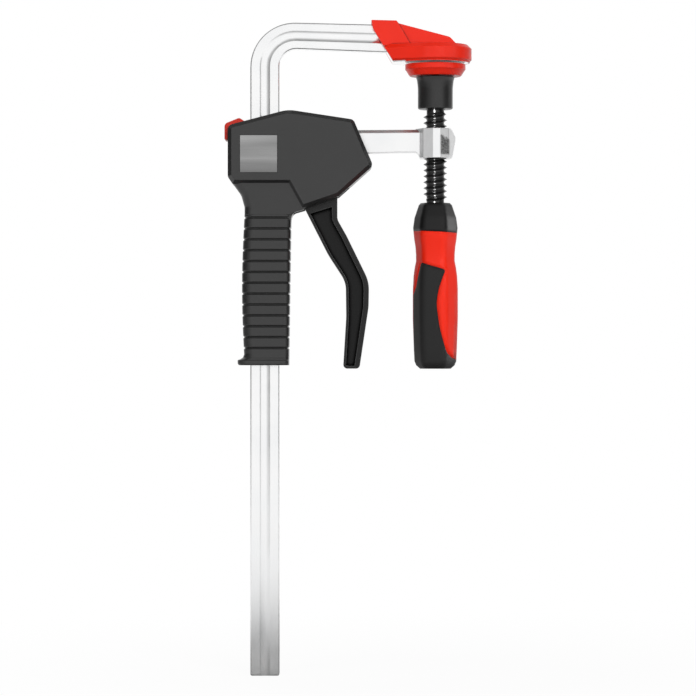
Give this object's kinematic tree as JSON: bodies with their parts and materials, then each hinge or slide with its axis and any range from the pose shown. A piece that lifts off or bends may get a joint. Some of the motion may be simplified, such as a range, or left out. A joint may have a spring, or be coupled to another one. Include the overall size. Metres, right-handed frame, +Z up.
{
  "type": "bar clamp",
  "caption": "One-handed bar clamp: steel rail bent into a fixed jaw, pistol-grip carriage with pump lever and release button, sliding arm, and a screw with handle and swivel pad.",
  "frame": {"origin": "middle of the fixed jaw's steel face, on the axis of the screw", "axes": "+Z up along the rail towards the fixed arm, +X away from the rail, +Y from the front of the housing to its rear"},
  "size_m": [0.1668, 0.049, 0.4422],
  "materials": {
    "zinc_plated_steel": "bright zinc plate, drawn grooves along the bar",
    "red_plastic": "moulded, satin gloss",
    "black_plastic": "fine spark-eroded texture",
    "black_oxide_steel": "black oxide",
    "bright_plate": "brushed, bare",
    "black_lever_plastic": "satin rim, glossier pocket",
    "ground_steel": "ground",
    "spring_steel": "drawn wire",
    "red_button_plastic": "moulded, satin gloss",
    "black_sleeve_plastic": "moulded, satin gloss",
    "burnished_black_steel": "burnished black, oiled",
    "red_handle_plastic": "moulded, gloss",
    "black_soft_rubber": "soft moulded"
  },
  "bodies": {
    "rail": {"rail_with_fixed_arm": "zinc_plated_steel", "fixed_jaw_cap": "red_plastic"},
    "carriage": {"housing_front_shell": "black_plastic", "housing_rear_shell": "black_plastic", "housing_screws": "black_oxide_steel", "housing_plate": "bright_plate", "sliding_arm": "zinc_plated_steel", "lever_pivot_pin": "ground_steel", "drive_spring": "spring_steel", "brake_spring": "spring_steel"},
    "lever": {"squeeze_lever": "black_lever_plastic", "lever_drive_pin": "ground_steel"},
    "drive": {"drive_plate": "ground_steel"},
    "brake": {"brake_plate": "ground_steel"},
    "button": {"release_button": "red_button_plastic"},
    "sleeve": {"thrust_sleeve": "black_sleeve_plastic", "snap_ring": "spring_steel"},
    "spindle": {"spindle_screw": "burnished_black_steel", "handle_core": "red_handle_plastic", "handle_soft_grip": "black_soft_rubber", "handle_collar": "black_sleeve_plastic", "handle_cross_pin": "ground_steel"},
    "pad": {"pressure_plate": "ground_steel", "swivel_cap": "red_plastic"}
  },
  "joints": [
    {"name": "carriage_slide", "type": "slide", "parent": "rail", "child": "carriage", "axis": [0, 0, -1], "range_m": [0, 0.2]},
    {"name": "lever_squeeze", "type": "hinge", "parent": "carriage", "child": "lever", "pos_m": [-0.084, 0, -0.07], "axis": [0, 1, 0], "range_deg": [0, 14], "stiffness_Nm_per_rad": 0.6, "springref_deg": -17.19},
    {"name": "drive_plate_slide", "type": "slide", "parent": "carriage", "child": "drive", "axis": [0, 0, -1], "range_m": [-0.00005, 0.0038], "deforming": ["drive_spring"]},
    {"name": "release_press", "type": "slide", "parent": "carriage", "child": "button", "axis": [0, 0, -1], "range_m": [0, 0.0025], "stiffness_N_per_m": 1200, "springref_m": -0.002},
    {"name": "brake_plate_tilt", "type": "hinge", "parent": "carriage", "child": "brake", "pos_m": [-0.0964, 0, -0.0516], "axis": [0, 1, 0], "range_deg": [-3.9, 0.05], "deforming": ["brake_spring"]},
    {"name": "spindle_feed", "type": "slide", "parent": "carriage", "child": "sleeve", "axis": [0, 0, 1], "range_m": [-0.01205, 0.00005]},
    {"name": "spindle_turn", "type": "hinge", "parent": "sleeve", "child": "spindle", "pos_m": [0, 0, -0.06], "axis": [0, 0, 1], "range_deg": [-1080, 0]},
    {"name": "pad_tilt", "type": "hinge", "parent": "sleeve", "child": "pad", "pos_m": [0, 0, -0.006], "axis": [0, 1, 0], "range_deg": [-2.5, 2.5]}
  ],
  "couplings": [
    {"joint": "drive_plate_slide", "follows": "lever_squeeze", "m_per_rad": 0.015355},
    {"joint": "brake_plate_tilt", "follows": "release_press", "rad_per_m": -27},
    {"joint": "spindle_feed", "follows": "spindle_turn", "m_per_rad": 0.00063662}
  ]
}
